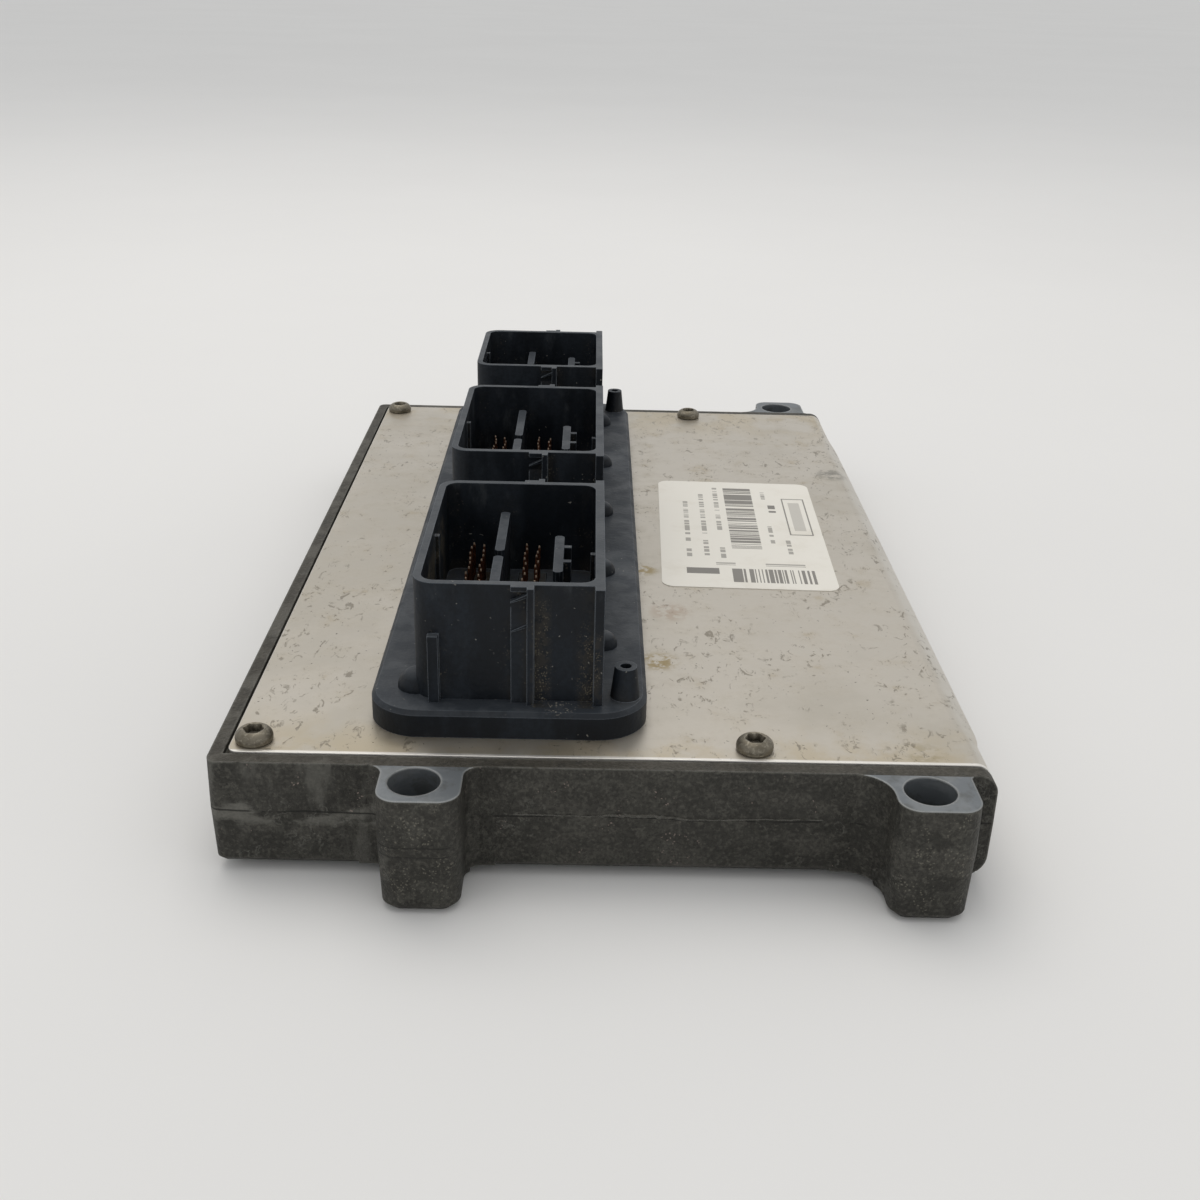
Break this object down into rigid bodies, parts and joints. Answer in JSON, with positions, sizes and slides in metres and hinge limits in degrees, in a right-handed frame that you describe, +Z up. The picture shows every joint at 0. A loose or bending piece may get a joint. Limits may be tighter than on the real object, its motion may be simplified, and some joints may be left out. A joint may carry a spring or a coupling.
{
  "type": "engine control unit",
  "caption": "Flat die-cast engine control unit with bolt ears, a sheet cover rolled over one side and a moulded header with upright plug bays full of pins.",
  "frame": {"origin": "middle of the bounding box's underside, level with the soles of the bolt ears", "axes": "+X from the connector side to the rolled side of the cover, +Y along the long side away from the pictured end, +Z up out of the plug bays"},
  "size_m": [0.1592, 0.2736, 0.0584],
  "materials": {
    "die_cast_aluminium": "satin",
    "sheet_aluminium": "satin",
    "screw_steel": "satin",
    "seal_rubber": "matte",
    "header_plastic": "matte",
    "pin_block_plastic": "matte",
    "pin_copper": "satin",
    "board_laminate": "satin",
    "chip_plastic": "matte",
    "pad_rubber": "matte",
    "choke_ferrite": "matte",
    "can_aluminium": "satin",
    "chip_ceramic": "matte",
    "crystal_steel": "satin",
    "label_paper": "matte"
  },
  "bodies": {
    "root": {"housing": "die_cast_aluminium", "cover_plate": "sheet_aluminium", "cover_screws": "screw_steel", "cover_seal": "seal_rubber", "connector_header": "header_plastic", "near_shroud": "header_plastic", "middle_shroud": "header_plastic", "far_shroud": "header_plastic", "header_seal": "seal_rubber", "header_screws": "screw_steel", "near_pin_blocks": "pin_block_plastic", "middle_pin_blocks": "pin_block_plastic", "far_pin_blocks": "pin_block_plastic", "near_bay_pins": "pin_copper", "middle_bay_pins": "pin_copper", "far_bay_pins": "pin_copper", "circuit_board": "board_laminate", "board_screws": "screw_steel", "microcontroller": "chip_plastic", "flash_memory": "chip_plastic", "driver_chips": "chip_plastic", "voltage_regulator": "chip_plastic", "power_transistors": "chip_plastic", "thermal_pads": "pad_rubber", "power_chokes": "choke_ferrite", "electrolytic_capacitors": "can_aluminium", "ceramic_capacitors": "chip_ceramic", "quartz_crystal": "crystal_steel", "label": "label_paper"}
  },
  "joints": []
}
